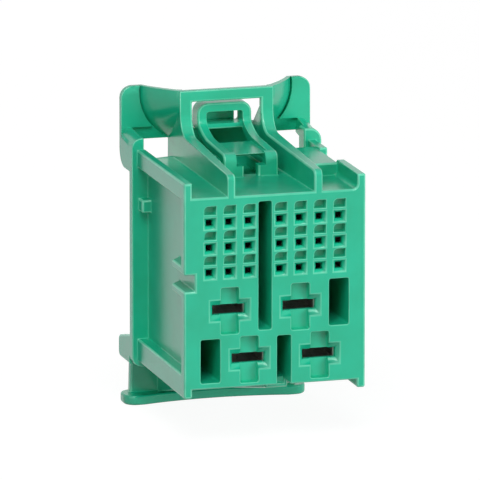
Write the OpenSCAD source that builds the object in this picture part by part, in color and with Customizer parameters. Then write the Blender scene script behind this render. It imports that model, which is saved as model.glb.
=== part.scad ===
// Hybrid receptacle connector: one moulded housing with a latch, a guard frame, two
// stay wings and a foot bar, holding small signal contacts and wide power contacts.
// Frame: X across the width, Y from the mating face to the wire side, Z up.
// The origin is the centre of the mating face outline.

/* [Mating block] */
// width of the mating face across both side walls
body_w = 37.1; // [36.9:0.1:38.3]
// height of the mating face from the wall tops to the leg bottoms
body_h = 43.1; // [42.9:0.1:44.1]
// depth of the open channels above the block
top_channel = 3; // [2.6:0.1:3.4]
// height of the legs below the block
leg_h = 1.7; // [1.2:0.1:1.9]
// thickness of the side walls and legs
wall_t = 1.7; // [1.2:0.1:2]
// depth of the front lip
lip_d = 2.4; // [1.8:0.1:4]
// recess of the side panels behind the lip
panel_recess = 2.25; // [1.8:0.05:2.4]
// height of the upper rails on the outside
top_rail_h = 3.6; // [3.4:0.1:5]
// height of the lower rails on the outside
bottom_rail_h = 4.6; // [2.5:0.1:6]

/* [Signal positions] */
// column spacing
pitch_x = 4; // [3.8:0.05:4.1]
// row spacing
pitch_z = 5; // [4.8:0.05:5.2]
// centre of the group of three columns
left_group_x = -9.2; // [-9.5:0.05:-9.1]
// centre of the group of four columns
right_group_x = 7.2; // [7.1:0.05:7.5]
// height of the top row
top_row_z = 13.35; // [13.1:0.05:13.8]
// pin hole width
sig_hole_w = 1.4; // [1.2:0.05:1.6]
// pin hole height
sig_hole_h = 1.3; // [1.2:0.05:1.5]
// lead-in rim width
sig_rim_w = 2.5; // [2.2:0.05:2.8]
// lead-in rim height
sig_rim_h = 2.4; // [2.1:0.05:2.6]
// lead-in depth
sig_lead_d = 0.9; // [0.6:0.05:1.2]
// probe pocket width
sig_pocket_w = 2.36; // [1.8:0.02:2.6]
// probe pocket height
sig_pocket_h = 1.62; // [1.2:0.02:1.8]
// rise of the probe pocket above the hole
sig_pocket_rise = 2.58; // [2.4:0.02:2.7]
// probe pocket depth
sig_pocket_d = 1.5; // [1:0.05:3]

/* [Power positions] */
// height of the upper pair
pow_row_z = -4.2; // [-4.6:0.05:-4]
// drop from the upper pair to the lower pair
pow_drop = 10; // [9.6:0.05:10.1]
// blade slot width
pow_slot_w = 6.75; // [6.5:0.05:7]
// blade slot height
pow_slot_h = 2; // [1.6:0.05:2.4]
// lead-in rim width
pow_rim_w = 8.3; // [7.8:0.05:8.6]
// lead-in rim height
pow_rim_h = 4.35; // [3.6:0.05:4.6]
// lead-in depth
pow_lead_d = 1; // [0.7:0.05:1.4]
// test pocket width
pow_pocket_w = 3.7; // [3:0.05:4.2]
// test pocket height
pow_pocket_h = 9.3; // [7:0.05:9.4]
// test pocket depth
pow_pocket_d = 1.4; // [1:0.05:1.6]
// drop of the test pocket below the blade slot's middle
pow_pocket_drop = 0.15; // [0:0.05:0.3]

/* [Front slots] */
// depth of the blind slots
slot_d = 20; // [10:0.5:30]
// corner radius of the slots
slot_r = 0.4; // [0.2:0.05:0.8]
// long slot: centre
long_x = -2.03; // [-2.1:0.01:-1.95]
// long slot: width
long_w = 2.66; // [2:0.02:2.7]
// long slot: bottom
long_z0 = -8.55; // [-9:0.05:-7]
// long slot: height
long_h = 25.74; // [20:0.02:26]
// left slot: centre
left_slot_x = -13.17; // [-13.3:0.01:-13]
// left slot: width
left_slot_w = 3.95; // [3:0.05:4]
// left slot: bottom
left_slot_z0 = -18.62; // [-18.7:0.02:-17.6]
// left slot: height
left_slot_h = 8.72; // [6:0.02:8.9]
// right slot: centre
right_slot_x = 13.1; // [12.9:0.02:13.2]
// right slot: width
right_slot_w = 4; // [3:0.05:4.1]
// right slot: bottom
right_slot_z0 = -8.55; // [-8.8:0.05:-7]
// right slot: height
right_slot_h = 9.34; // [6:0.02:9.6]
// open slot: centre
open_slot_x = 1.88; // [1.7:0.02:2]
// open slot: width
open_slot_w = 2.83; // [2:0.01:2.9]
// open slot: top
open_slot_z1 = -9.95; // [-11:0.05:-9.6]
// length of the open slot's cut through the underside
open_cut_d = 5.5; // [3:0.5:6]
// floor of the open slot above the block's underside
open_slot_floor = 0.25; // [0.15:0.05:1]

/* [Side keyway] */
// bottom of the notch in the left lip
key_z0 = -0.05; // [-3:0.05:2]
// height of the notch
key_h = 3.3; // [2:0.05:4.5]
// thickness of the two guide ribs
key_rib_t = 1.5; // [1:0.05:2.5]
// end of the guide ribs behind the mating face
key_rib_y = 11.2; // [6:0.1:20]
// length of the ribs' sloping ends
key_rib_ramp = 2.4; // [1:0.1:3]
// middle of the stop boss on the left panel
boss_z = 10.5; // [7:0.1:13]
// height of the boss
boss_h = 2.6; // [2:0.1:3.5]
// length of the boss before the flange
boss_len = 2.4; // [1.5:0.1:4]
// rise of the boss from the panel
boss_out = 2; // [1.2:0.1:2.2]

/* [Right channel] */
// front of the raised block in the right channel
step_y0 = 13.4; // [6:0.1:20]
// length of the raised block
step_len = 16.1; // [6:0.1:18]
// height of the raised block
step_h = 2.55; // [1:0.05:2.9]
// front of the notch in the right wall
gate_y0 = 14.2; // [6:0.1:18]
// length of the notch
gate_len = 11.5; // [4:0.1:13]
// depth of the notch at its front end
gate_front = 2.8; // [1.6:0.05:2.9]
// depth of the notch at its rear end
gate_rear = 1.5; // [0.8:0.05:2.4]
// radius between the channel's floor and the wall
channel_r = 1; // [0.5:0.05:1.5]

/* [Flange] */
// distance of the flange from the mating face
flange_y = 33.5; // [33:0.1:38]
// flange thickness
flange_t = 2.3; // [1.6:0.1:3]
// flange width
flange_w = 39.4; // [39:0.1:42]
// flange top
flange_z1 = 23.9; // [23:0.1:25]
// flange bottom
flange_z0 = -22.7; // [-25:0.1:-22.4]
// corner radius of the flange
flange_r = 2; // [1:0.1:2.2]
// radius of the right horn's outer corner
horn_r = 2.5; // [1.5:0.1:2.7]
// width of the left horn of the flange
left_horn_w = 2.5; // [2:0.1:4]
// width of the right horn of the flange
right_horn_w = 3.7; // [2:0.1:4]
// depth of the right horn
right_horn_d = 3.7; // [2.5:0.1:5]
// height of the right horn's deep part below the block's top
right_horn_root = 3; // [2:0.1:5]
// depth of the block behind the flange's front
tail_d = 9.5; // [9.2:0.1:12]
// depth of the block's flat top behind the flange's front
tail_top = 5.1; // [4:0.1:6]
// drop of the block's sloping rear edge
tail_drop = 2.4; // [0.5:0.1:2.6]

/* [Guard] */
// inner side of the ribs at the mating face, from the middle
rib_in = 8.05; // [7.6:0.05:8.2]
// outer side of the ribs
rib_out = 9.68; // [9.5:0.02:9.8]
// inner side of the guard posts
post_in = 7.13; // [7:0.01:7.6]
// rise of the ribs above the block at the mating face
rib_h = 4.3; // [3.8:0.05:5]
// extra rise of the ribs at the posts
rib_rise = 1.2; // [0.2:0.05:1.6]
// radius of the ribs' front corners
rib_nose_r = 1.3; // [0.6:0.05:2]
// setback of the posts behind the flange's front
post_set = 0.3; // [0:0.05:1]
// thickness of the guard bar
guard_t = 1.5; // [1.2:0.05:2.2]
// top of the guard and wings
guard_z = 32.85; // [32.4:0.05:34.5]
// height of the guard bar
guard_h = 2.3; // [1.6:0.05:2.5]
// radius between rib and post
post_r = 4.2; // [3:0.1:5]
// foot depth of the posts
post_foot = 6.7; // [6:0.1:7.2]
// height of the posts' straight rear below the guard's top
post_neck = 4.2; // [3:0.1:6]

/* [Latch] */
// distance of the latch legs from the mating face
latch_y = 16.5; // [14:0.1:18]
// half-width over the latch arms
latch_out = 5.6; // [5:0.05:5.8]
// width of each latch arm
latch_arm_w = 1.85; // [1.5:0.05:2.2]
// thickness of the latch arms
latch_arm_t = 1.7; // [1.5:0.05:2]
// rise of the arms above the block at the legs
latch_rise = 4.75; // [4.5:0.05:5.2]
// rise of the arms between the legs and the bend
latch_lift = 0.45; // [0.2:0.05:0.8]
// width of each latch leg
latch_leg_w = 2.6; // [2.3:0.05:2.8]
// thickness of the latch legs
latch_leg_t = 2.4; // [2:0.05:3]
// outer radius of the knees above the legs
knee_r = 1.7; // [1:0.05:1.9]
// inner radius of the knees
knee_in_r = 0.8; // [0.4:0.05:1.2]
// foot length towards the middle
latch_foot = 1.55; // [0.8:0.05:2]
// foot height
latch_foot_h = 2.25; // [1.5:0.05:2.4]
// start of the arms' upward bend before the loop
bend_set = 7.8; // [6:0.1:9]
// radius of the bend
bend_r = 15; // [13:0.1:18]
// radius between the arms and the loop
loop_root_r = 1.6; // [1:0.05:2]
// distance of the latch loop behind the flange's front
loop_set = 1.8; // [1.6:0.05:2.1]
// thickness of the latch loop
loop_t = 4.3; // [2.6:0.05:4.4]
// rise of the loop's bottom above the knees
loop_rise = 1.2; // [0.9:0.05:1.4]
// height of the latch loop
loop_h = 5.35; // [4.8:0.05:5.5]
// corner radius of the loop
loop_r = 2.2; // [1.5:0.05:2.5]
// height of the bar below the loop's slot
loop_sill = 1.1; // [0.8:0.05:1.4]
// height of the loop's slot
loop_slot_h = 2.45; // [1.6:0.05:2.6]
// corner radius of the loop's slot
loop_slot_r = 0.5; // [0.3:0.05:0.8]
// setback of the plate between the arms, behind the legs' front
plate_set = 1.4; // [1:0.05:2]
// distance of the plate's rear end before the loop
plate_end = 5.4; // [4:0.1:8]
// depth of the plate below the knees
plate_drop = 0.4; // [0.3:0.05:0.6]
// thickness of the plate
plate_t = 0.55; // [0.5:0.05:0.6]
// undercut of the plate's front edge
plate_under = 1.4; // [0.6:0.05:2]
// stop behind the loop: half-width
stop_half = 3.4; // [2:0.05:4.5]
// stop: height above the block
stop_h = 9.75; // [7:0.05:10.5]
// height of the wall behind the latch
stop_wall_h = 5.5; // [4:0.05:5.8]
// thickness of the stop
stop_t = 1.8; // [1.2:0.05:2.2]
// depth of the relief under the latch
pit_d = 2.3; // [0.5:0.05:2.6]
// half-width of the relief under the latch
pit_half = 5.2; // [4:0.05:6]
// front of the relief behind the legs' front
pit_set = 3; // [2.5:0.1:4]

/* [Wings] */
// front of the wing pads behind the flange's front
pad_set = 8; // [7.8:0.05:8.4]
// thickness of the wing pads
pad_t = 1.5; // [1.2:0.05:2]
// bottom of the wing pads
pad_z0 = 24.5; // [24.1:0.05:25.2]
// radius of the pads' outer top corner
pad_r = 2.3; // [1:0.1:3.5]
// bottom of the thin band below the pads
band_z0 = 21.9; // [21.6:0.05:23]
// setback of the band behind the pads' front
band_set = 0.7; // [0.4:0.05:0.9]
// centre of the bowl between post and pad, from the middle
bowl_x = 5.5; // [5.2:0.05:5.8]
// drop of the bowl's centre below the guard's top
bowl_drop = 1.35; // [1.1:0.05:1.8]
// bowl radius at the pad
bowl_r = 10.4; // [10:0.05:10.8]
// bowl radius at the post
bowl_root_r = 4.5; // [4.3:0.05:4.8]
// setback of the bowl behind the post's front
bowl_set = 0.6; // [0.5:0.05:1]
// setback of the bowl's rim behind the pad's front
rim_set = 1; // [0.7:0.05:1.1]
// belly of the bowl between post and pad
bowl_belly = 0.55; // [0.2:0.05:0.8]
// thickness of the bowl's web along Y
web_t = 1.8; // [1.4:0.05:2.2]
// thickness of the side gussets and ears
gusset_t = 1.5; // [1.2:0.05:2]
// bottom of the side gussets
gusset_z0 = 16.8; // [14:0.1:17]
// radius of the gussets' rear corner
gusset_r = 3.6; // [2:0.1:3.8]
// setback of the left shoulder's inner side from its horn's
left_shoulder_set = 0.25; // [0.2:0.05:0.3]
// setback of the right shoulder's inner side from its horn's
right_shoulder_set = 0.9; // [0.3:0.05:1]
// height of the shoulders' straight sides
shoulder_side = 1; // [0.6:0.05:1.5]
// top of the ears at the flange
ear_z1 = -16.4; // [-18:0.1:-14]
// length of the ears behind the flange's front
ear_len = 10.5; // [7:0.1:11]
// corner radius of the ears
ear_r = 1.2; // [0.6:0.1:1.8]
// drop of the ears' top towards the rear
ear_fall = 1.6; // [0.4:0.05:2]
// height of the ears' bottom above the flange's
ear_lift = 0.2; // [0.1:0.05:0.6]

/* [Foot] */
// bottom of the foot bar
foot_z0 = -32; // [-34:0.1:-31]
// thickness of the foot bar
foot_t = 2; // [1.6:0.1:2.6]
// width of the foot bar
foot_w = 38; // [36:0.1:39]
// shift of the foot bar and the skirt to the left of the middle
foot_shift = 0.5; // [0:0.1:0.6]
// corner radius of the foot bar
foot_r = 2.5; // [1.5:0.1:2.8]
// front of the foot bar behind the flange's front
foot_set = 5.4; // [5:0.1:6]
// depth of the foot bar
foot_d = 6.4; // [5.8:0.1:7]
// depth of the hollow in the foot bar's front
foot_hollow = 1.8; // [0.6:0.1:2.2]
// half-length of the hollow
hollow_half = 15; // [13:0.1:16]
// skirt width at the block
skirt_w = 34; // [33:0.1:34.4]
// skirt thickness
skirt_t = 2; // [1.4:0.1:2.6]
// lap of the skirt on the block's rear
skirt_lap = 0.9; // [0.6:0.05:1.2]
// height of the skirt's lap on the block
skirt_rise = 1.6; // [1:0.1:3]
// widening of the skirt at the foot, each side
skirt_flare = 0.3; // [0.1:0.05:0.8]
// spread of the stays under the block
stay_x = 11.2; // [8:0.1:13]
// thickness of the stays
stay_t = 1.6; // [1.2:0.1:2.4]
// front end of the stays
stay_y = 8; // [6:0.5:16]
// toe of the stays before the skirt
stay_toe = 0.5; // [0.3:0.05:0.8]

/* [Contacts] */
// wall of the housing in front of the signal contacts
sig_front = 1.9; // [1.8:0.05:3]
// wall of the housing in front of the power contacts
pow_front = 2.2; // [2:0.05:3]
// gap between a contact's front and the wall before it
front_gap = 0.1; // [0.05:0.01:0.2]
// signal contact box, across
sig_box = 2.1; // [1.95:0.05:2.15]
// power contact box, width
pow_box_w = 7.3; // [7.2:0.05:7.5]
// power contact box, height
pow_box_h = 3.1; // [2.9:0.05:3.3]
// clearance between a contact and its cavity, each side
contact_gap = 0.12; // [0.08:0.01:0.16]
// sheet thickness of the signal contacts
sig_sheet = 0.3; // [0.2:0.02:0.34]
// sheet thickness of the power contacts
pow_sheet = 0.4; // [0.3:0.02:0.5]
// length of the signal contact box
sig_box_len = 8.5; // [7.5:0.1:10]
// length of the power contact box
pow_box_len = 10.5; // [9.5:0.1:12]
// width of the signal contact's spring
sig_spring_w = 0.8; // [0.6:0.05:1.1]
// height of the signal contact's spring above the hole's axis
sig_nip = 0.36; // [0.32:0.01:0.42]
// width of each power contact spring
pow_spring_w = 1.8; // [1.4:0.05:2]
// spacing of the power contact's springs
pow_spring_pitch = 3.8; // [3:0.05:4]
// height of the power contact's springs above the slot's axis
pow_nip = 0.42; // [0.36:0.01:0.5]
// width of the slit in the power contact's top
pow_slit_w = 1; // [0.6:0.05:1.4]
// length of the slit
pow_slit_len = 2.4; // [1.5:0.1:3]
// width of the signal contact's lance
sig_lance_w = 0.9; // [0.7:0.05:1.1]
// rise of the signal contact's lance
sig_lance_h = 0.55; // [0.4:0.05:0.6]
// width of the power contact's lance
pow_lance_w = 1.6; // [1.2:0.05:2]
// rise of the power contact's lance
pow_lance_h = 0.75; // [0.5:0.05:0.8]
// distance from a lance's tip to the rear of its box
lance_end = 1.4; // [1:0.05:2]
// clearance round a lance
lance_room = 0.2; // [0.15:0.01:0.25]
// width of the signal contact's rear strip
sig_strip_w = 1.1; // [0.8:0.05:1.4]
// width of the power contact's rear strip
pow_strip_w = 2; // [1.6:0.05:2.6]
// length of the neck behind the signal contact's box
sig_neck = 1.4; // [1:0.1:2]
// length of the neck behind the power contact's box
pow_neck = 1.8; // [1.2:0.1:2.4]
// radius of the signal contact's wire crimp
sig_crimp_r = 0.8; // [0.65:0.01:0.9]
// length of the signal contact's wire crimp
sig_crimp_len = 3; // [2.4:0.1:3.6]
// radius of the power contact's wire crimp
pow_crimp_r = 1.3; // [1.1:0.01:1.4]
// length of the power contact's wire crimp
pow_crimp_len = 4.4; // [3.6:0.1:5]
// radius of the signal contact's insulation crimp
sig_grip_r = 1.02; // [0.9:0.01:1.04]
// length of the signal contact's insulation crimp
sig_grip_len = 3.4; // [2.6:0.1:4]
// radius of the power contact's insulation crimp
pow_grip_r = 1.52; // [1.4:0.01:1.54]
// length of the power contact's insulation crimp
pow_grip_len = 4.2; // [3.4:0.1:5]
// gap between the two crimps
crimp_gap = 1.3; // [0.8:0.1:1.8]
// widening of the cavities at the rear, each side
entry_step = 0.3; // [0.2:0.02:0.34]
// depth of the widened entry
entry_d = 1; // [0.5:0.1:2]

/* [Hidden] */
green = "#36be96";
tin = "#c9c7c0";
half_w = body_w / 2;
wall_z = body_h / 2;
block_z1 = wall_z - top_channel;
block_z0 = leg_h - wall_z;
panel_x = half_w - panel_recess;
wall_in = half_w - wall_t;
body_d = flange_y + tail_d;
tail_y = flange_y + tail_top;
flange_rear = flange_y + flange_t;
outer_x = flange_w / 2;
post_y = flange_y + post_set;
post_rear = post_y + post_foot;
loop_y = flange_y + loop_set;
knee_z = block_z1 + latch_rise;
pad_y = flange_y + pad_set;
pad_rear = pad_y + pad_t;
bowl_z = guard_z - bowl_drop;
foot_y = flange_y + foot_set;
skirt_y = body_d - skirt_lap;
root = 0.5;
over = 1;
columns_left = 3;
columns_right = 4;
rows = 3;
sig_xs = concat(
  [for (i = [0:columns_left - 1]) left_group_x + (i - (columns_left - 1) / 2) * pitch_x],
  [for (i = [0:columns_right - 1]) right_group_x + (i - (columns_right - 1) / 2) * pitch_x]
);
sig_at = [for (r = [0:rows - 1], x = sig_xs) [x, top_row_z - r * pitch_z]];
pow_at = [
  [left_group_x, pow_row_z],
  [right_group_x - pitch_x / 2, pow_row_z],
  [left_group_x + pitch_x, pow_row_z - pow_drop],
  [right_group_x + pitch_x / 2, pow_row_z - pow_drop]
];
sig_cavity = sig_box + 2 * contact_gap;
pow_cavity_w = pow_box_w + 2 * contact_gap;
pow_cavity_h = pow_box_h + 2 * contact_gap;

// points along an arc
function arc(cx, cy, r, a0, a1, n = 6) =
  [for (i = [0:n]) let (a = a0 + (a1 - a0) * i / n) [cx + r * cos(a), cy + r * sin(a)]];

// an outline in Y and Z, spread across X
module along_x(x0, x1) {
  translate([x0, 0, 0]) rotate([90, 0, 90]) linear_extrude(x1 - x0) children();
}

// an outline in X and Z, spread along Y
module along_y(y0, y1) {
  translate([0, y1, 0]) rotate([90, 0, 0]) linear_extrude(y1 - y0) children();
}

// an outline in X and Y, spread along Z
module along_z(z0, z1) {
  translate([0, 0, z0]) linear_extrude(z1 - z0) children();
}

module both_sides() {
  children();
  mirror([1, 0, 0]) children();
}

module box(x0, x1, y0, y1, z0, z1) {
  translate([x0, y0, z0]) cube([x1 - x0, y1 - y0, z1 - z0]);
}

module rect(x0, x1, y0, y1) {
  translate([x0, y0]) square([x1 - x0, y1 - y0]);
}

// rectangle with four rounded corners
module round_rect(x0, x1, y0, y1, r) {
  rect(x0 + r, x1 - r, y0, y1);
  rect(x0, x1, y0 + r, y1 - r);
  for (x = [x0 + r, x1 - r], y = [y0 + r, y1 - r])
    translate([x, y]) circle(r = r, $fn = 24);
}

// four-sided lead-in that narrows from the mating face
module lead_in(rim_w, rim_h, hole_w, hole_h, depth) {
  grow_w = (rim_w - hole_w) / 2 / depth;
  grow_h = (rim_h - hole_h) / 2 / depth;
  intersection() {
    along_z(-rim_h, rim_h) polygon([
      [-rim_w / 2 - grow_w, -over], [rim_w / 2 + grow_w, -over],
      [hole_w / 2, depth], [-hole_w / 2, depth]
    ]);
    along_x(-rim_w, rim_w) polygon([
      [-over, -rim_h / 2 - grow_h], [-over, rim_h / 2 + grow_h],
      [depth, hole_h / 2], [depth, -hole_h / 2]
    ]);
  }
}

// pocket outline with one soft upper corner
module probe_outline() {
  w = sig_pocket_w / 2;
  h = sig_pocket_h / 2;
  polygon(concat([[-w, -h], [w, -h], [w, h]], arc(h - w, 0, h, 90, 180)));
}

// cavity for a contact box, with room for its lance and a widened rear entry
module cavity(front, w, h, box_len, lance_w, lance_h) {
  lance_half = lance_w / 2 + lance_room;
  entry_w = w / 2 + entry_step;
  entry_h = h / 2 + entry_step;
  box(-w / 2, w / 2, front, body_d + over, -h / 2, h / 2);
  box(-lance_half, lance_half, front + box_len / 4, front + box_len - lance_end + 2 * lance_room,
    0, h / 2 + lance_h);
  box(-entry_w, entry_w, body_d - entry_d, body_d + over, -entry_h, entry_h);
}

// everything cut for one small contact
module signal_cell() {
  lead_in(sig_rim_w, sig_rim_h, sig_hole_w, sig_hole_h, sig_lead_d);
  box(-sig_hole_w / 2, sig_hole_w / 2, 0, sig_front + over, -sig_hole_h / 2, sig_hole_h / 2);
  translate([0, 0, sig_pocket_rise]) along_y(-over, sig_pocket_d) probe_outline();
  cavity(sig_front, sig_cavity, sig_cavity, sig_box_len, sig_lance_w, sig_lance_h);
}

// everything cut for one wide contact
module power_cell() {
  lead_in(pow_rim_w, pow_rim_h, pow_slot_w, pow_slot_h, pow_lead_d);
  box(-pow_slot_w / 2, pow_slot_w / 2, 0, pow_front + over, -pow_slot_h / 2, pow_slot_h / 2);
  along_y(-over, pow_pocket_d)
    round_rect(-pow_pocket_w / 2, pow_pocket_w / 2,
      -pow_pocket_h / 2 - pow_pocket_drop, pow_pocket_h / 2 - pow_pocket_drop, slot_r);
  cavity(pow_front, pow_cavity_w, pow_cavity_h, pow_box_len, pow_lance_w, pow_lance_h);
}

module front_slots() {
  along_y(-over, slot_d) {
    round_rect(long_x - long_w / 2, long_x + long_w / 2, long_z0, long_z0 + long_h, slot_r);
    round_rect(left_slot_x - left_slot_w / 2, left_slot_x + left_slot_w / 2,
      left_slot_z0, left_slot_z0 + left_slot_h, slot_r);
    round_rect(right_slot_x - right_slot_w / 2, right_slot_x + right_slot_w / 2,
      right_slot_z0, right_slot_z0 + right_slot_h, slot_r);
    round_rect(open_slot_x - open_slot_w / 2, open_slot_x + open_slot_w / 2,
      block_z0 + open_slot_floor, open_slot_z1, slot_r);
  }
  box(open_slot_x - open_slot_w / 2, open_slot_x + open_slot_w / 2,
    -over, open_cut_d, block_z0 - over, (block_z0 + open_slot_z1) / 2);
}

// section of the block with its rails and walls
module rail_section() {
  rect(-panel_x, panel_x, block_z0, block_z1);
  for (s = [0, 1]) mirror([s, 0]) {
    rect(panel_x - root, half_w, wall_z - top_rail_h, block_z1);
    rect(wall_in, half_w, wall_z - top_rail_h, wall_z);
    rect(panel_x - root, half_w, block_z0, bottom_rail_h - wall_z);
    rect(wall_in, half_w, -wall_z, bottom_rail_h - wall_z);
  }
}

// outline of the mating face
module lip_section() {
  rect(-half_w, half_w, block_z0, block_z1);
  for (s = [0, 1]) mirror([s, 0]) rect(wall_in, half_w, -wall_z, wall_z);
}

module block() {
  difference() {
    union() {
      along_y(0, flange_y + root) rail_section();
      along_y(0, lip_d) lip_section();
      along_x(-panel_x, panel_x) polygon([
        [flange_y, block_z0], [flange_y, block_z1], [tail_y, block_z1],
        [body_d, block_z1 - tail_drop], [body_d, block_z0]
      ]);
      box(rib_out - root, wall_in + root, step_y0, step_y0 + step_len,
        block_z1 - root, block_z1 + step_h);
      channel_fillet();
    }
    box(-half_w - over, -panel_x, -over, lip_d + over, key_z0, key_z0 + key_h);
    along_x(wall_in, half_w + over) polygon([
      [gate_y0, wall_z + over], [gate_y0, wall_z - gate_front],
      [gate_y0 + gate_len, wall_z - gate_rear], [gate_y0 + gate_len, wall_z + over]
    ]);
  }
}

// soft corner between the right channel's floor and the wall
module channel_fillet() {
  along_y(0, step_y0 + root) polygon(concat(
    [[wall_in + root, block_z1 - root], [wall_in + root, block_z1 + channel_r]],
    arc(wall_in - channel_r, block_z1 + channel_r, channel_r, 0, -90),
    [[wall_in - channel_r, block_z1 - root]]
  ));
}

// guide ribs beside the notch in the left lip, and the stop boss before the flange
module left_panel() {
  for (z = [key_z0 - key_rib_t, key_z0 + key_h])
    along_z(z, z + key_rib_t) polygon([
      [-panel_x + root, lip_d - root], [-half_w, lip_d - root],
      [-half_w, key_rib_y - key_rib_ramp], [-panel_x, key_rib_y], [-panel_x + root, key_rib_y]
    ]);
  box(-panel_x - boss_out, -panel_x + root, flange_y - boss_len, flange_y + root,
    boss_z - boss_h / 2, boss_z + boss_h / 2);
}

module flange_outline() {
  x = outer_x - flange_r;
  polygon(concat(
    arc(outer_x - horn_r, flange_z1 - horn_r, horn_r, 0, 90),
    arc(-x, flange_z1 - flange_r, flange_r, 90, 180),
    arc(-x, flange_z0 + flange_r, flange_r, 180, 270),
    arc(x, flange_z0 + flange_r, flange_r, 270, 360)
  ));
}

// plate round the block, cut down to the block's top between its two horns
module flange() {
  difference() {
    union() {
      along_y(flange_y, flange_rear) flange_outline();
      intersection() {
        along_y(flange_y, flange_y + right_horn_d) flange_outline();
        box(outer_x - right_horn_w, outer_x + over, flange_y, body_d,
          block_z1 - right_horn_root, flange_z1 + over);
      }
    }
    box(left_horn_w - outer_x, outer_x - right_horn_w, 0, body_d, block_z1, flange_z1 + over);
  }
}

// one rib that sweeps up into a guard post
module rib() {
  rib_z = block_z1 + rib_h;
  floor_z = block_z1 - tail_drop - root;
  intersection() {
    along_x(post_in - over, rib_out + over) polygon(concat(
      [[0, block_z1 - root]],
      arc(rib_nose_r, rib_z - rib_nose_r, rib_nose_r, 180, 90),
      arc(post_y - post_r, rib_z + rib_rise + post_r, post_r, -90, 0, 8),
      [
        [post_y, guard_z], [post_y + guard_t, guard_z], [post_y + guard_t, guard_z - post_neck],
        [post_rear, block_z1 + stop_wall_h], [post_rear, floor_z],
        [tail_y - over, floor_z], [tail_y - over, block_z1 - root]
      ]
    ));
    along_z(floor_z - root, guard_z + over) polygon([
      [rib_in, -over], [rib_out, -over], [rib_out, body_d], [post_in, body_d], [post_in, post_y]
    ]);
  }
}

module guard() {
  both_sides() rib();
  box(-post_in - root, post_in + root, post_y, post_y + guard_t, guard_z - guard_h, guard_z);
}

// side outline of a latch arm with its leg, from the block up to the loop
module latch_outline() {
  bend_y = loop_y - bend_set;
  bend_z = knee_z + latch_lift + bend_r;
  turn = asin((bend_set - loop_root_r) / (bend_r - loop_root_r));
  root_z = bend_z - (bend_r - loop_root_r) * cos(turn);
  end_set = loop_t / 2;
  turn_low = asin((bend_set + end_set) / (bend_r + latch_arm_t));
  leg_rear = latch_y + latch_leg_t;
  polygon(concat(
    [[latch_y, block_z1 - root]],
    arc(latch_y + knee_r, knee_z - knee_r, knee_r, 180, 90),
    arc(bend_y, bend_z, bend_r, -90, turn - 90),
    arc(loop_y - loop_root_r, root_z, loop_root_r, turn - 90, 0),
    [[loop_y + end_set, root_z]],
    arc(bend_y, bend_z, bend_r + latch_arm_t, turn_low - 90, -90),
    arc(leg_rear + knee_in_r, knee_z - latch_arm_t - knee_in_r, knee_in_r, 90, 180, 4),
    [[leg_rear, block_z1 - root]]
  ));
}

// latch rooted on the block by two legs, with a push loop at its free end
module latch() {
  arm_in = latch_out - latch_arm_w;
  leg_in = latch_out - latch_leg_w;
  leg_rear = latch_y + latch_leg_t;
  plate_z = knee_z - plate_drop;
  loop_z0 = knee_z + loop_rise;
  loop_z1 = loop_z0 + loop_h;
  slot_z0 = loop_z0 + loop_sill;
  both_sides() {
    along_x(arm_in, latch_out) latch_outline();
    intersection() {
      along_x(leg_in, latch_out) latch_outline();
      box(leg_in, latch_out, latch_y, leg_rear, block_z1 - root, knee_z + over);
    }
    box(leg_in - latch_foot, latch_out, latch_y, leg_rear, block_z1 - root, block_z1 + latch_foot_h);
  }
  along_x(-arm_in - root, arm_in + root) polygon([
    [latch_y + plate_set, plate_z], [loop_y - plate_end, plate_z],
    [loop_y - plate_end, plate_z - plate_t], [latch_y + plate_set + plate_under, plate_z - plate_t]
  ]);
  difference() {
    along_y(loop_y, loop_y + loop_t) polygon(concat(
      [[-latch_out, loop_z0], [latch_out, loop_z0]],
      arc(latch_out - loop_r, loop_z1 - loop_r, loop_r, 0, 90),
      arc(loop_r - latch_out, loop_z1 - loop_r, loop_r, 90, 180)
    ));
    along_y(loop_y - over, loop_y + loop_t + over)
      round_rect(-arm_in, arm_in, slot_z0, slot_z0 + loop_slot_h, loop_slot_r);
  }
}

// wall behind the latch, with a raised stop in its middle
module latch_stop() {
  y0 = post_rear - root;
  box(-rib_out, rib_out, y0, pad_rear, block_z1 - tail_drop - root, block_z1 + stop_wall_h);
  box(-stop_half, stop_half, y0, y0 + stop_t, block_z1, block_z1 + stop_h);
}

// profile of the bowl between post and pad: radius against depth
function bowl_profile() = let (
  y0 = post_y + bowl_set,
  y1 = pad_y + rim_set,
  steps = 6,
  belly = [for (i = [0:steps]) let (t = i / steps)
    [bowl_root_r + (bowl_r - bowl_root_r) * t + bowl_belly * sin(180 * t), y0 + (y1 - y0) * t]],
  front = concat([[bowl_root_r - 2 * root, y0 - root]], belly, [[bowl_r + root, y1]])
) concat(front, [for (i = [len(front) - 1:-1:0]) front[i] + [0, web_t]]);

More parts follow.
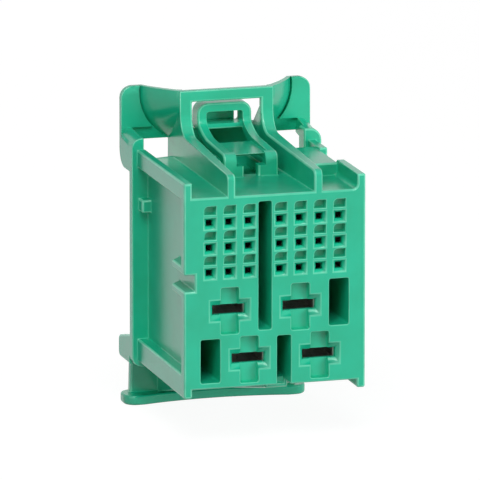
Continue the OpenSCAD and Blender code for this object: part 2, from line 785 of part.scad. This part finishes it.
// wing behind one horn: a bowl from the post to a flat pad, a band below it and a gusset
// r: outer corner radius, w: width of the shoulder, y0: rear of the horn
module wing(r, w, y0) {
  intersection() {
    translate([bowl_x, 0, bowl_z]) rotate([-90, 0, 0]) rotate_extrude($fn = 96)
      polygon(bowl_profile());
    box(post_in + root, outer_x - r, flange_y, pad_rear, band_z0, guard_z);
  }
  difference() {
    along_y(pad_y, pad_rear) polygon(concat(
      [[rib_out, guard_z], [rib_out, pad_z0], [outer_x - r, pad_z0], [outer_x, pad_z0 - r - root]],
      arc(outer_x - pad_r, guard_z - pad_r, pad_r, 0, 90)
    ));
    translate([bowl_x, 0, bowl_z]) rotate([-90, 0, 0])
      translate([0, 0, pad_y - over]) cylinder(r = bowl_r, h = pad_t + 2 * over, $fn = 96);
  }
  box(rib_out - root, outer_x - gusset_t, pad_y + band_set, pad_rear, band_z0, pad_z0 + root);
  shoulder(r, w, y0);
  along_x(outer_x - gusset_t, outer_x) polygon(concat(
    [
      [flange_y + root, gusset_z0], [flange_y + root, flange_z1 - r], [y0, flange_z1 - r],
      [pad_y, pad_z0 - r], [pad_rear, pad_z0 - r]
    ],
    arc(pad_rear - gusset_r, gusset_z0 + gusset_r, gusset_r, 0, -90)
  ));
}

// rounded shoulder that climbs from the horn's top to the pad's bottom
// its outline is squeezed so that an upright cut through it matches the horn
module shoulder(r, w, y0) {
  climb = atan((pad_z0 - flange_z1) / (pad_y - y0));
  low = r + shoulder_side;
  upright = concat(
    [[outer_x - w, -low], [outer_x, -low]], arc(outer_x - r, -r, r, 0, 90), [[outer_x - w, 0]]
  );
  intersection() {
    translate([0, y0, flange_z1]) rotate([climb, 0, 0]) along_y(flange_y - y0, body_d - y0)
      polygon([for (p = upright) [p[0], p[1] * cos(climb)]]);
    box(0, outer_x + over, flange_y + root, pad_rear - root, 0, guard_z);
  }
}

// side ear of the flange near the bottom
module ear() {
  rear = flange_y + ear_len;
  ear_z0 = flange_z0 + ear_lift;
  along_x(outer_x - gusset_t, outer_x) polygon(concat(
    [
      [flange_y + root, flange_z0 + flange_r], [flange_rear, flange_z0 + flange_r],
      [flange_rear, ear_z0]
    ],
    arc(rear - ear_r, ear_z0 + ear_r, ear_r, -90, 0, 4),
    arc(rear - ear_r, ear_z1 - ear_fall - ear_r, ear_r, 0, 90, 4),
    [[flange_rear, ear_z1], [flange_y + root, ear_z1]]
  ));
}

// foot bar with a hollow front, hung from the block by a skirt and three stays
module foot() {
  hollow_r = (hollow_half * hollow_half + foot_hollow * foot_hollow) / (2 * foot_hollow);
  translate([-foot_shift, 0, 0]) {
    difference() {
      along_z(foot_z0, foot_z0 + foot_t)
        round_rect(-foot_w / 2, foot_w / 2, foot_y, foot_y + foot_d, foot_r);
      translate([0, foot_y + foot_hollow - hollow_r, foot_z0 - over])
        cylinder(r = hollow_r, h = foot_t + 2 * over, $fn = 180);
    }
    along_y(skirt_y, skirt_y + skirt_t) polygon([
      [-skirt_w / 2, block_z0 + skirt_rise], [skirt_w / 2, block_z0 + skirt_rise],
      [skirt_w / 2 + skirt_flare, foot_z0 + root], [-skirt_w / 2 - skirt_flare, foot_z0 + root]
    ]);
  }
  for (x = [-stay_x, stay_x]) stay(x, stay_t, stay_y);
  stay(open_slot_x, open_slot_w + stay_t, open_cut_d - root);
}

// sloping rib under the block that carries the skirt
module stay(x, t, y) {
  foot_z1 = foot_z0 + foot_t;
  along_x(x - t / 2, x + t / 2) polygon([
    [y, block_z0 + root], [y, block_z0 - leg_h], [skirt_y - stay_toe, foot_z1],
    [skirt_y - stay_toe, foot_z1 - root], [skirt_y + root, foot_z1 - root],
    [skirt_y + root, block_z0 + root]
  ]);
}

module housing() {
  color(green) difference() {
    union() {
      block();
      left_panel();
      flange();
      guard();
      latch();
      latch_stop();
      mirror([1, 0, 0]) wing(flange_r, left_horn_w - left_shoulder_set, flange_rear);
      wing(horn_r, right_horn_w - right_shoulder_set, flange_y + right_horn_d);
      both_sides() ear();
      foot();
    }
    for (p = sig_at) translate([p[0], 0, p[1]]) signal_cell();
    for (p = pow_at) translate([p[0], 0, p[1]]) power_cell();
    front_slots();
    box(-pit_half, pit_half, latch_y + pit_set, tail_y - over, block_z1 - pit_d, block_z1 + over);
  }
}

// crimp barrel: a closed sleeve rolled from the sheet
module sleeve(y0, y1, r, sheet, floor_z) {
  translate([0, 0, floor_z + r]) along_y(y0, y1) difference() {
    circle(r = r, $fn = 16);
    circle(r = r - sheet, $fn = 16);
  }
}

// strip behind a contact box with the wire crimp and the insulation crimp on it
module crimps(y0, neck, crimp_r, crimp_len, grip_r, grip_len, strip_w, sheet, floor_z) {
  crimp_y = y0 + neck;
  grip_y = crimp_y + crimp_len + crimp_gap;
  box(-strip_w / 2, strip_w / 2, y0 - root, grip_y + grip_len + sheet, floor_z, floor_z + sheet);
  sleeve(crimp_y, crimp_y + crimp_len, crimp_r, sheet, floor_z);
  sleeve(grip_y, grip_y + grip_len, grip_r, sheet, floor_z);
}

// leaf pressed down from the box's top onto the pin or blade
module spring(w, box_len, top, sheet, nip) {
  y0 = box_len / 20;
  y1 = box_len / 4;
  y2 = box_len / 3;
  y3 = box_len * 2 / 3;
  seat = top - sheet * 3 / 4;
  leaf = min(sheet, seat - nip);
  along_x(-w / 2, w / 2) polygon([
    [y0, seat], [y1, nip], [y2, nip], [y3, seat],
    [y3, seat + sheet / 2], [y2, nip + leaf], [y1, nip + leaf], [y0, seat + sheet / 2]
  ]);
}

// tongue raised from the box's top that locks behind the cavity's step
module lance(w, rise, box_len, top, sheet) {
  y0 = box_len * 0.3;
  tip = box_len - lance_end;
  z1 = top + rise - lance_room / 4;
  along_x(-w / 2, w / 2) polygon([
    [y0, top - sheet / 2], [y0, top], [tip - sheet / 2, z1], [tip, z1 - sheet / 2],
    [tip, z1 - sheet], [box_len / 2, top - sheet / 2]
  ]);
}

// small contact: folded box with an inner spring, a lance and two crimp sleeves
module signal_contact(at) {
  h = sig_box / 2;
  in = h - sig_sheet;
  color(tin) translate([at[0], sig_front + front_gap, at[1]]) {
    difference() {
      box(-h, h, 0, sig_box_len, -h, h);
      box(-in, in, -over, sig_box_len + over, -in, in);
    }
    spring(sig_spring_w, sig_box_len, h, sig_sheet, sig_nip);
    lance(sig_lance_w, sig_lance_h, sig_box_len, h, sig_sheet);
    crimps(sig_box_len, sig_neck, sig_crimp_r, sig_crimp_len, sig_grip_r, sig_grip_len,
      sig_strip_w, sig_sheet, -h);
  }
}

// wide contact: flat box slit along its top, two springs, a lance and two crimp sleeves
module power_contact(at) {
  w = pow_box_w / 2;
  h = pow_box_h / 2;
  in_w = w - pow_sheet;
  in_h = h - pow_sheet;
  color(tin) translate([at[0], pow_front + front_gap, at[1]]) {
    difference() {
      box(-w, w, 0, pow_box_len, -h, h);
      box(-in_w, in_w, -over, pow_box_len + over, -in_h, in_h);
      box(-pow_slit_w / 2, pow_slit_w / 2, -over, pow_slit_len, 0, h + over);
    }
    for (x = [-pow_spring_pitch / 2, pow_spring_pitch / 2])
      translate([x, 0, 0]) spring(pow_spring_w, pow_box_len, h, pow_sheet, pow_nip);
    lance(pow_lance_w, pow_lance_h, pow_box_len, h, pow_sheet);
    crimps(pow_box_len, pow_neck, pow_crimp_r, pow_crimp_len, pow_grip_r, pow_grip_len,
      pow_strip_w, pow_sheet, -h);
  }
}

housing();
for (i = [0:len(sig_at) - 1])
  signal_contact(sig_at[i]);
for (i = [0:len(pow_at) - 1])
  power_contact(pow_at[i]);
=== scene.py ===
import math

import bmesh
import bpy
from mathutils import Euler, Matrix, Vector
from mathutils.bvhtree import BVHTree
from mathutils.geometry import intersect_point_line


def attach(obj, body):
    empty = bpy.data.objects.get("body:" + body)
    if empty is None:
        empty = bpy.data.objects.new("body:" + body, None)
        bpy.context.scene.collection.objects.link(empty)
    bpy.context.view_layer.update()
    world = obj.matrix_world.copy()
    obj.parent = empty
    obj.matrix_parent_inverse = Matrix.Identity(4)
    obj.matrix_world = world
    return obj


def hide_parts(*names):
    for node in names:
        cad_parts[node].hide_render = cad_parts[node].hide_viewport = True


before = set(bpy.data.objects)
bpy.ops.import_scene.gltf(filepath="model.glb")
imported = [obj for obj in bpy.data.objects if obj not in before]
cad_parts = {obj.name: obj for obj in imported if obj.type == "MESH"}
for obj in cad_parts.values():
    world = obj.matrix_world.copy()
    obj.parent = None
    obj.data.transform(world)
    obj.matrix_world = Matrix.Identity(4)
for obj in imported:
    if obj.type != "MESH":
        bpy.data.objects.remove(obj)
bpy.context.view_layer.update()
scene = bpy.context.scene
scene.view_settings.view_transform = "Standard"

# One millimetre in metres. Sizes below are in millimetres, unless a comment says otherwise.
MM = 0.001

# Places on the housing. The mating face is at Y 0 and looks to -Y.
BLOCK_TOP = 18.55
BLOCK_BOTTOM = -19.85
PANEL_X = 16.3
REAR_FACE = 43.0
FOOT_TOP = -30.0
# Nearer to the block's outline than this, across and in height, an edge belongs to the outline and
# not to a hole.
OUTLINE_INSET_X = 0.4
OUTLINE_INSET_Z = 0.1
# An edge nearer to a face than TOUCH lies in it, and points nearer than MERGED are one point.
TOUCH = 0.01
MERGED = 0.002

# Corner radii of the mould: the foot bar is rolled over, the free edges are soft, the inner
# corners have a smaller fillet and the rims of the contact holes are nearly sharp.
FOOT_ROUND = 0.5
EDGE_ROUND = 0.4
FILLET = 0.25
RIM_ROUND = 0.2
ROUND_STEPS = 3
# Where a curved form runs out in a flat one the mould has no radius: lowest and highest corners of
# such places on both sides of the middle, with X counted from it.
RUN_OUTS = (
    ("bowl of a wing", (8.0, 34.0, 24.3), (17.7, 43.1, 32.9)),
    ("pad over a shoulder", (16.3, 41.3, 21.5), (19.8, 43.1, 24.9)),
    ("flange corner over an ear", (17.6, 35.6, -22.9), (19.8, 35.9, -20.2)),
    ("mouth of the latch", (0.0, 16.0, 20.5), (3.1, 19.0, 24.0)),
)
# A corner takes less than half of the face beside it, so that the next corner has its room too. The
# face's width is measured from EDGE_STEPS + 1 points along the edge, and NO_LIMIT is wider than any.
ROOM_SHARE = 0.43
EDGE_STEPS = 4
NO_LIMIT = 99.0
# Faces that meet at less than FLAT_ANGLE are one face, and at more than SHARP_ANGLE they have a
# corner. Edges that meet at more than STRAIGHT_ANGLE run on from each other.
FLAT_ANGLE = math.radians(0.6)
SHARP_ANGLE = math.radians(28)
STRAIGHT_ANGLE = math.radians(150)

# Patterns of the plastic: clouds of the melt's flow, patches of painted edge highlight, and the mould's
# grain.
FLOW_SIZE = 9.0
PATCH_SIZE = 4.0
GRAIN_SIZE = 0.3
GRAIN_DEPTH = 0.008
# Rolling marks of the contacts' strip.
MARK_LENGTH = 4.0
MARK_SPACING = 0.1
MARK_DEPTH = 0.005
# The attribute of the housing's mesh that holds a painted highlight: 1 on its rounded outer edges
# and less on the rims of the holes, which get less of it.
EDGE_HIGHLIGHT_ATTRIBUTE = "painted_edge_highlight"
RIM_HIGHLIGHT_SHARE = 0.6
# The colour sockets of a Mix node share their names with others, so they go by number.
MIX_SHARE, MIX_FIRST, MIX_SECOND, MIX_RESULT = 0, 6, 7, 2

# The floor just under the foot bar, with its radius in metres and the glow that makes it show white.
FLOOR_Z = -32.02
FLOOR_RADIUS = 3.0
FLOOR_GLOW = 0.93
# Light on the object from all round, and the white that the eye and reflections get.
EVEN_LIGHT = 0.01
FULL_WHITE = 1.0
# Lamps: name, way from the object to the lamp, distance and size in metres, power in watts, and
# whether gloss mirrors it. The fill lamps aren't mirrored, or flat tops would glare from behind.
LAMPS = (
    ("key", (-0.22, -0.604, 0.766), 1.0, (0.5, 0.5), 5.5, True),
    ("left wall", (-0.75, -0.66, 0.05), 0.9, (0.8, 1.0), 3.1, True),
    ("side fill", (0.76, -0.64, 0.10), 1.0, (0.5, 0.5), 8.8, False),
    ("rear fill", (-0.10, 0.98, 0.12), 1.0, (0.6, 0.6), 5.0, False),
)
LAMP_AIM = (0, 20, 0)

# The camera's place, its turns about X, Y and Z in degrees, and its lens.
CAMERA_PLACE = (-451.756, -1514.766, 362.616)
CAMERA_TURNS = (77.4012, -0.0282, -16.3507)
SENSOR_WIDTH = 36
FOCAL_LENGTH = 620.92


def linear(hex_colour):
    """sRGB hex to the linear colour that a shader socket holds."""
    parts = [int(hex_colour[i:i + 2], 16) / 255 for i in (1, 3, 5)]
    return [c / 12.92 if c <= 0.04045 else ((c + 0.055) / 1.055) ** 2.4 for c in parts] + [1.0]


def add_node(tree, kind, values=None, links=None, **settings):
    """One node with its settings, its socket values and what feeds its sockets."""
    node = tree.nodes.new(kind)
    for name, value in settings.items():
        setattr(node, name, value)
    for socket, value in (values or {}).items():
        node.inputs[socket].default_value = value
    for socket, source in (links or {}).items():
        tree.links.new(source, node.inputs[socket])
    return node


def new_material(name):
    """An empty node material, with its tree and its output node."""
    material = bpy.data.materials.new(name)
    material.use_nodes = True
    tree = material.node_tree
    tree.nodes.clear()
    return material, tree, add_node(tree, "ShaderNodeOutputMaterial")


def moulded_green_pbt():
    """Glass-filled PBT from a spark-eroded mould: saturated green, satin, finely grained, with flow marks."""
    material, tree, output = new_material("moulded_glass_filled_pbt")
    place = add_node(tree, "ShaderNodeTexCoord")
    # The flow of the melt shows as soft clouds.
    flow = add_node(tree, "ShaderNodeTexNoise",
                    {"Scale": 1 / (FLOW_SIZE * MM), "Detail": 3.0, "Roughness": 0.55},
                    {"Vector": place.outputs["Object"]})
    tint = add_node(tree, "ShaderNodeValToRGB", links={"Fac": flow.outputs["Fac"]})
    tint.color_ramp.elements[0].position = 0.35
    tint.color_ramp.elements[0].color = linear("#17B38B")
    tint.color_ramp.elements[1].position = 0.68
    tint.color_ramp.elements[1].color = linear("#1CBD96")
    # Rounded edges get a painted highlight, a paler colour than the faces, in uneven patches.
    edge = add_node(tree, "ShaderNodeAttribute", attribute_name=EDGE_HIGHLIGHT_ATTRIBUTE)
    highlight_patch = add_node(tree, "ShaderNodeTexNoise", {"Scale": 1 / (PATCH_SIZE * MM), "Detail": 2.0},
                     {"Vector": place.outputs["Object"]})
    highlight_strength = add_node(tree, "ShaderNodeMapRange",
                        {"From Min": 0.3, "From Max": 0.7, "To Min": 0.55, "To Max": 0.95},
                        {"Value": highlight_patch.outputs["Fac"]})
    highlight_share = add_node(tree, "ShaderNodeMath", operation="MULTIPLY",
                        links={0: edge.outputs["Fac"], 1: highlight_strength.outputs["Result"]})
    colour = add_node(tree, "ShaderNodeMix", {MIX_SECOND: linear("#6FDDB9")},
                      {MIX_SHARE: highlight_share.outputs["Value"], MIX_FIRST: tint.outputs["Color"]},
                      data_type="RGBA")
    satin = add_node(tree, "ShaderNodeMapRange", {"To Min": 0.20, "To Max": 0.28},
                     {"Value": flow.outputs["Fac"]})
    # Eroded mould grain is near 0.05 mm; it is drawn coarser so that it shows at all.
    grain = add_node(tree, "ShaderNodeTexNoise", {"Scale": 1 / (GRAIN_SIZE * MM), "Detail": 2.0},
                     {"Vector": place.outputs["Object"]})
    relief = add_node(tree, "ShaderNodeBump", {"Strength": 0.35, "Distance": GRAIN_DEPTH * MM},
                      {"Height": grain.outputs["Fac"]})
    plastic = add_node(tree, "ShaderNodeBsdfPrincipled", {"IOR": 1.55},
                       {"Base Color": colour.outputs[MIX_RESULT], "Roughness": satin.outputs["Result"],
                        "Normal": relief.outputs["Normal"]})
    tree.links.new(plastic.outputs["BSDF"], output.inputs["Surface"])
    return material


def tin_plated_bronze():
    """Stamped bronze strip with a reflowed tin plate: warm grey, half bright, streaked along the strip."""
    material, tree, output = new_material("tin_plated_bronze_strip")
    place = add_node(tree, "ShaderNodeTexCoord")
    # The rolling marks run along Y.
    along = add_node(tree, "ShaderNodeMapping",
                     {"Scale": (1 / (MARK_SPACING * MM), 1 / (MARK_LENGTH * MM), 1 / (MARK_SPACING * MM))},
                     {"Vector": place.outputs["Object"]})
    streak = add_node(tree, "ShaderNodeTexNoise", {"Scale": 1.0, "Detail": 3.0},
                      {"Vector": along.outputs["Vector"]})
    tone = add_node(tree, "ShaderNodeValToRGB", links={"Fac": streak.outputs["Fac"]})
    tone.color_ramp.elements[0].position = 0.3
    tone.color_ramp.elements[0].color = linear("#B9B6AD")
    tone.color_ramp.elements[1].position = 0.7
    tone.color_ramp.elements[1].color = linear("#D2D0CA")
    gloss = add_node(tree, "ShaderNodeMapRange", {"To Min": 0.22, "To Max": 0.38},
                     {"Value": streak.outputs["Fac"]})
    relief = add_node(tree, "ShaderNodeBump", {"Strength": 0.25, "Distance": MARK_DEPTH * MM},
                      {"Height": streak.outputs["Fac"]})
    metal = add_node(tree, "ShaderNodeBsdfPrincipled", {"Metallic": 1.0},
                     {"Base Color": tone.outputs["Color"], "Roughness": gloss.outputs["Result"],
                      "Normal": relief.outputs["Normal"]})
    tree.links.new(metal.outputs["BSDF"], output.inputs["Surface"])
    return material


def in_block_outline(place):
    """Whether a place in millimetres lies within the outline of the block, seen from the mating face."""
    across = abs(place.x) < PANEL_X - OUTLINE_INSET_X
    return across and BLOCK_BOTTOM + OUTLINE_INSET_Z < place.z < BLOCK_TOP - OUTLINE_INSET_Z


def corner_round(edge):
    """The mould radius of one edge in millimetres, from where the edge lies, or 0 where it stays sharp."""
    middle = (edge.verts[0].co + edge.verts[1].co) / (2 * MM)
    if len(edge.link_faces) != 2 or edge.calc_face_angle(0) < SHARP_ANGLE:
        return 0
    for _, low, high in RUN_OUTS:
        if low[0] < abs(middle.x) < high[0] and low[1] < middle.y < high[1] and low[2] < middle.z < high[2]:
            return 0
    if in_block_outline(middle):
        return RIM_ROUND if middle.y < TOUCH or middle.y > REAR_FACE - TOUCH else 0
    if not edge.is_convex:
        return FILLET
    return FOOT_ROUND if middle.z < FOOT_TOP + TOUCH else EDGE_ROUND


def run_length(corner, forwards):
    """Length in millimetres of the nearly straight stretch of a face's border that leaves a corner."""
    total = 0.0
    for _ in corner.face.loops:
        border = corner.edge if forwards else corner.link_loop_prev.edge
        total += border.calc_length() / MM
        corner = corner.link_loop_next if forwards else corner.link_loop_prev
        if corner.calc_angle() < STRAIGHT_ANGLE:
            break
    return total


def room_at_ends(loop):
    """Radius in millimetres that the face's corners at both ends of an edge leave for it."""
    room = NO_LIMIT
    for corner, forwards in ((loop.link_loop_next, True), (loop, False)):
        angle = corner.calc_angle()
        if not corner.is_convex or angle > STRAIGHT_ANGLE:
            continue
        other = corner.edge if forwards else corner.link_loop_prev.edge
        sharp = other.calc_face_angle(0) >= SHARP_ANGLE
        slant = math.tan(angle / 2) if sharp else math.sin(angle)
        room = min(room, run_length(corner, forwards) * slant)
    return room


def room_across(loop):
    """Width in millimetres of the face beside an edge, up to the next sharp edge that it doesn't meet."""
    room = NO_LIMIT
    edge = loop.edge
    start, end = (vert.co for vert in edge.verts)
    points = [start.lerp(end, step / EDGE_STEPS) for step in range(EDGE_STEPS + 1)]
    for other in loop.face.edges:
        if set(edge.verts) & set(other.verts) or other.calc_face_angle(0) < SHARP_ANGLE:
            continue
        start, end = (vert.co for vert in other.verts)
        for point in points:
            foot, share = intersect_point_line(point, start, end)
            if 0 <= share <= 1:
                room = min(room, (point - foot).length / MM)
    return room


def even_out(radii):
    """Gives the edges that run on from each other the smallest of their radii."""
    changed = True
    while changed:
        changed = False
        for edge in radii:
            for vert in edge.verts:
                along = edge.other_vert(vert).co - vert.co
                for other in vert.link_edges:
                    if radii.get(other, radii[edge]) >= radii[edge]:
                        continue
                    if along.angle(other.other_vert(vert).co - vert.co) > STRAIGHT_ANGLE:
                        radii[edge] = radii[other]
                        changed = True


def weigh_edges(mesh):
    """Gives each edge its share of the largest radius, and keeps the corners without one sharp."""
    weight = mesh.edges.layers.float.new("bevel_weight_edge")
    radii = {}
    for edge in mesh.edges:
        radius = corner_round(edge)
        edge.smooth = radius > 0 or edge.calc_face_angle(0) < SHARP_ANGLE
        if radius:
            room = min(min(room_at_ends(loop), room_across(loop)) for loop in edge.link_loops)
            radii[edge] = min(radius, room * ROOM_SHARE)
    even_out(radii)
    for edge, radius in radii.items():
        edge[weight] = radius / FOOT_ROUND


def round_corners(piece):
    """Bevels the weighed edges; the new faces get the second of two empty material slots as a mark."""
    piece.data.materials.clear()
    for _ in range(2):
        piece.data.materials.append(None)
    bevel = piece.modifiers.new("mould radii", "BEVEL")
    bevel.limit_method = "WEIGHT"
    bevel.width = FOOT_ROUND * MM
    bevel.segments = ROUND_STEPS
    bevel.use_clamp_overlap = False
    bevel.loop_slide = False
    bevel.material = 1
    bpy.ops.object.modifier_apply(modifier=bevel.name)


def mark_painted_highlights(piece, solid):
    """Cleans the rounded mesh, joins its roundings and notes the painted highlight of the outer ones.

    The foot bar gets no painted highlight. Returns the vertices of all roundings.
    """
    tree = BVHTree.FromPolygons([vert.co for vert in solid.data.vertices],
                                [face.vertices for face in solid.data.polygons])
    mesh = bmesh.new()
    mesh.from_mesh(piece.data)
    bmesh.ops.remove_doubles(mesh, verts=mesh.verts, dist=MERGED * MM)
    bmesh.ops.dissolve_degenerate(mesh, dist=MERGED * MM, edges=mesh.edges)
    mesh.verts.index_update()
    pale = mesh.faces.layers.float.new(EDGE_HIGHLIGHT_ATTRIBUTE)
    for face in mesh.faces:
        if face.material_index:
            middle = face.calc_center_median()
            spot, normal, _, _ = tree.find_nearest(middle)
            # The rounding of an outer corner lies inside the sharp solid, and a fillet outside it.
            if (middle - spot).dot(normal) < 0 and middle.z > FOOT_TOP * MM:
                # The painted highlight: full on outer roundings, less on the rims of the holes.
                face[pale] = RIM_HIGHLIGHT_SHARE if in_block_outline(middle / MM) else 1.0
    for edge in mesh.edges:
        if all(face.material_index for face in edge.link_faces):
            edge.smooth = True
    rounded = [vert.index for vert in mesh.verts if any(face.material_index for face in vert.link_faces)]
    for face in mesh.faces:
        face.material_index = 0
    mesh.to_mesh(piece.data)
    mesh.free()
    piece.data.materials.clear()
    return rounded


def keep_faces_flat(piece, rounded):
    """Lets each corner's shading run into its flat faces without bending them."""
    piece.vertex_groups.new(name="rounded").add(rounded, 1.0, "REPLACE")
    flat = piece.modifiers.new("flat faces stay flat", "WEIGHTED_NORMAL")
    flat.keep_sharp = True
    flat.vertex_group = "rounded"
    bpy.ops.object.modifier_apply(modifier=flat.name)
    piece.vertex_groups.clear()


def mould_housing():
    """The housing as it leaves the mould: the CAD solid, merged, with its corners rounded."""
    bpy.ops.object.select_all(action="DESELECT")
    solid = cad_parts["housing"]
    solid.select_set(True)
    bpy.context.view_layer.objects.active = solid
    bpy.ops.object.duplicate()
    piece = bpy.context.object
    piece.name = "moulded_housing"
    for key in list(piece.keys()):
        del piece[key]
    piece.parent = None
    bpy.ops.mesh.customdata_custom_splitnormals_clear()
    bpy.ops.object.mode_set(mode="EDIT")
    bpy.ops.mesh.select_all(action="SELECT")
    bpy.ops.mesh.remove_doubles(threshold=MERGED * MM)
    bpy.ops.mesh.dissolve_limited(angle_limit=FLAT_ANGLE)
    weigh_edges(bmesh.from_edit_mesh(piece.data))
    bmesh.update_edit_mesh(piece.data)
    bpy.ops.object.mode_set(mode="OBJECT")
    bpy.ops.object.shade_smooth()
    round_corners(piece)
    keep_faces_flat(piece, mark_painted_highlights(piece, solid))
    return piece


def shows_background(tree):
    """A socket that is 1 for camera, glossy and transmission rays, and 0 for light on the object."""
    path = add_node(tree, "ShaderNodeLightPath")
    mirrored = add_node(tree, "ShaderNodeMath", operation="MAXIMUM",
                        links={0: path.outputs["Is Glossy Ray"], 1: path.outputs["Is Transmission Ray"]})
    seen = add_node(tree, "ShaderNodeMath", operation="MAXIMUM",
                    links={0: path.outputs["Is Camera Ray"], 1: mirrored.outputs["Value"]})
    return seen.outputs["Value"]


def lay_floor():
    """A pale floor under the foot bar that shows white and keeps a faint shadow."""
    bpy.ops.object.select_all(action="DESELECT")
    bpy.ops.mesh.primitive_circle_add(vertices=64, radius=FLOOR_RADIUS, fill_type="NGON",
                                      location=(0, 0, FLOOR_Z * MM))
    floor = bpy.context.object
    floor.name = "floor"
    material, tree, output = new_material("matt_white_paper")
    matt = add_node(tree, "ShaderNodeBsdfDiffuse", {"Color": linear("#A4A4A2")})
    shade = add_node(tree, "ShaderNodeBsdfDiffuse", {"Color": linear("#6A6A6A")})
    glow = add_node(tree, "ShaderNodeEmission", {"Color": linear("#FFFFFF"), "Strength": FLOOR_GLOW})
    shown = add_node(tree, "ShaderNodeAddShader",
                     links={0: shade.outputs["BSDF"], 1: glow.outputs["Emission"]})
    mix = add_node(tree, "ShaderNodeMixShader",
                   links={0: shows_background(tree), 1: matt.outputs["BSDF"], 2: shown.outputs["Shader"]})
    tree.links.new(mix.outputs["Shader"], output.inputs["Surface"])
    floor.data.materials.append(material)


def white_surround():
    """A white room: full white to the eye and to reflections, and a low even light on the object."""
    world = bpy.data.worlds.new("white surround")
    scene.world = world
    world.use_nodes = True
    tree = world.node_tree
    tree.nodes.clear()
    output = add_node(tree, "ShaderNodeOutputWorld")
    level = add_node(tree, "ShaderNodeMapRange", {"To Min": EVEN_LIGHT, "To Max": FULL_WHITE},
                     {"Value": shows_background(tree)})
    light = add_node(tree, "ShaderNodeBackground", {"Color": linear("#FFFFFF")},
                     {"Strength": level.outputs["Result"]})
    tree.links.new(light.outputs["Background"], output.inputs["Surface"])


def softbox(name, towards, distance, size, power, mirrored):
    """A soft lamp that faces the middle of the object."""
    lamp = bpy.data.lights.new(name, "AREA")
    lamp.shape = "RECTANGLE"
    lamp.size, lamp.size_y = size
    lamp.energy = power
    holder = bpy.data.objects.new(name, lamp)
    scene.collection.objects.link(holder)
    way = Vector(towards).normalized()
    holder.location = Vector(LAMP_AIM) * MM + way * distance
    holder.rotation_euler = way.to_track_quat("Z", "Y").to_euler()
    holder.visible_glossy = mirrored


def set_camera():
    """A long lens from the front left, a little above, as the photograph was taken."""
    lens = bpy.data.cameras.new("long lens")
    lens.sensor_width = SENSOR_WIDTH
    lens.lens = FOCAL_LENGTH
    holder = bpy.data.objects.new("camera", lens)
    scene.collection.objects.link(holder)
    turn = Euler([math.radians(angle) for angle in CAMERA_TURNS]).to_matrix().to_4x4()
    holder.matrix_world = Matrix.Translation(Vector(CAMERA_PLACE) * MM) @ turn
    scene.camera = holder


set_camera()
white_surround()
lay_floor()
for lamp in LAMPS:
    softbox(*lamp)

housing = mould_housing()
housing.data.materials.append(moulded_green_pbt())
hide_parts("housing")
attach(housing, "root")

tin = tin_plated_bronze()
for name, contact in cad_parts.items():
    if "contact" in name:
        contact.data.materials.clear()
        contact.data.materials.append(tin)
